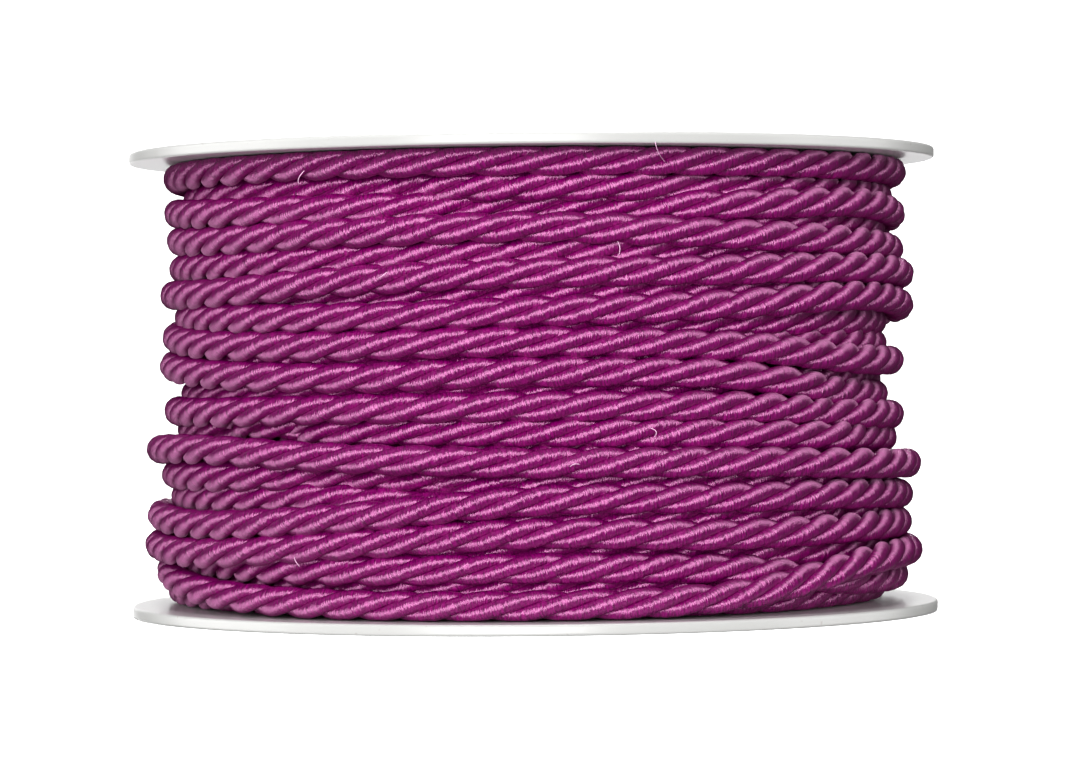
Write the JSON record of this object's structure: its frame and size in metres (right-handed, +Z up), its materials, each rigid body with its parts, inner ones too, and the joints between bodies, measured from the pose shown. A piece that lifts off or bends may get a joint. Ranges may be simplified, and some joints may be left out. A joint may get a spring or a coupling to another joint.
{
  "type": "twisted cord on spool",
  "caption": "Glossy three-ply twisted satin cord wound in close, slightly crossing turns on a plastic spool with two thin round flanges.",
  "frame": {"origin": "centre of the bottom flange's outer face, on the surface that the spool stands on", "axes": "+Z up along the spool's axis, -Y towards the front of the picture, +X to its right"},
  "size_m": [0.11, 0.11, 0.063],
  "materials": {
    "cord": "lustrous gimped viscose satin, three plies twisted",
    "spool": "glossy white injection-moulded polystyrene"
  },
  "bodies": {
    "root": {"winding": "cord", "core": "spool", "flange_bottom": "spool", "flange_top": "spool"}
  },
  "joints": []
}
